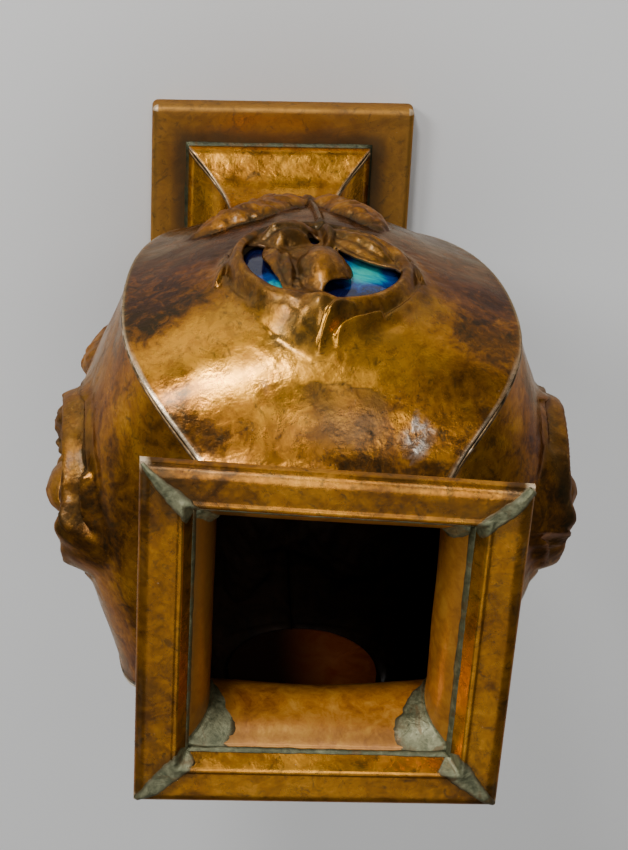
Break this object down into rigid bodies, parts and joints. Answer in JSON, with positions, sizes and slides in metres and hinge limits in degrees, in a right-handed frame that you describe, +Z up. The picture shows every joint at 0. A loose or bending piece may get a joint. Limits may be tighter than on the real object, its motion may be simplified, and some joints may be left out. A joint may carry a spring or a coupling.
{
  "type": "copper vase",
  "caption": "Square vase of sheet copper on a flat plinth, with a domed body, pierced repousse flowers over blue enamel, and a wide flat rim.",
  "frame": {"origin": "centre of the vase's plan, on the plane that the plinth stands on", "axes": "+Z up the vase's axis, -Y out of the front panel, +X out of the right panel, which the picture shows at its left"},
  "size_m": [0.1606, 0.1606, 0.279],
  "materials": {
    "panel_copper": "lacquered sheet copper with a mottled brown and gold patina",
    "rim_copper": "lacquered sheet copper with file marks and grey solder at the corners",
    "plinth_copper": "lacquered sheet copper with a brown patina",
    "enamel": "glossy blue and turquoise enamel on copper"
  },
  "bodies": {
    "root": {"panel_front": "panel_copper", "panel_right": "panel_copper", "panel_back": "panel_copper", "panel_left": "panel_copper", "rim_front": "rim_copper", "rim_right": "rim_copper", "rim_back": "rim_copper", "rim_left": "rim_copper", "plinth": "plinth_copper", "enamel_plaque_front": "enamel", "enamel_plaque_right": "enamel", "enamel_plaque_back": "enamel", "enamel_plaque_left": "enamel"}
  },
  "joints": []
}
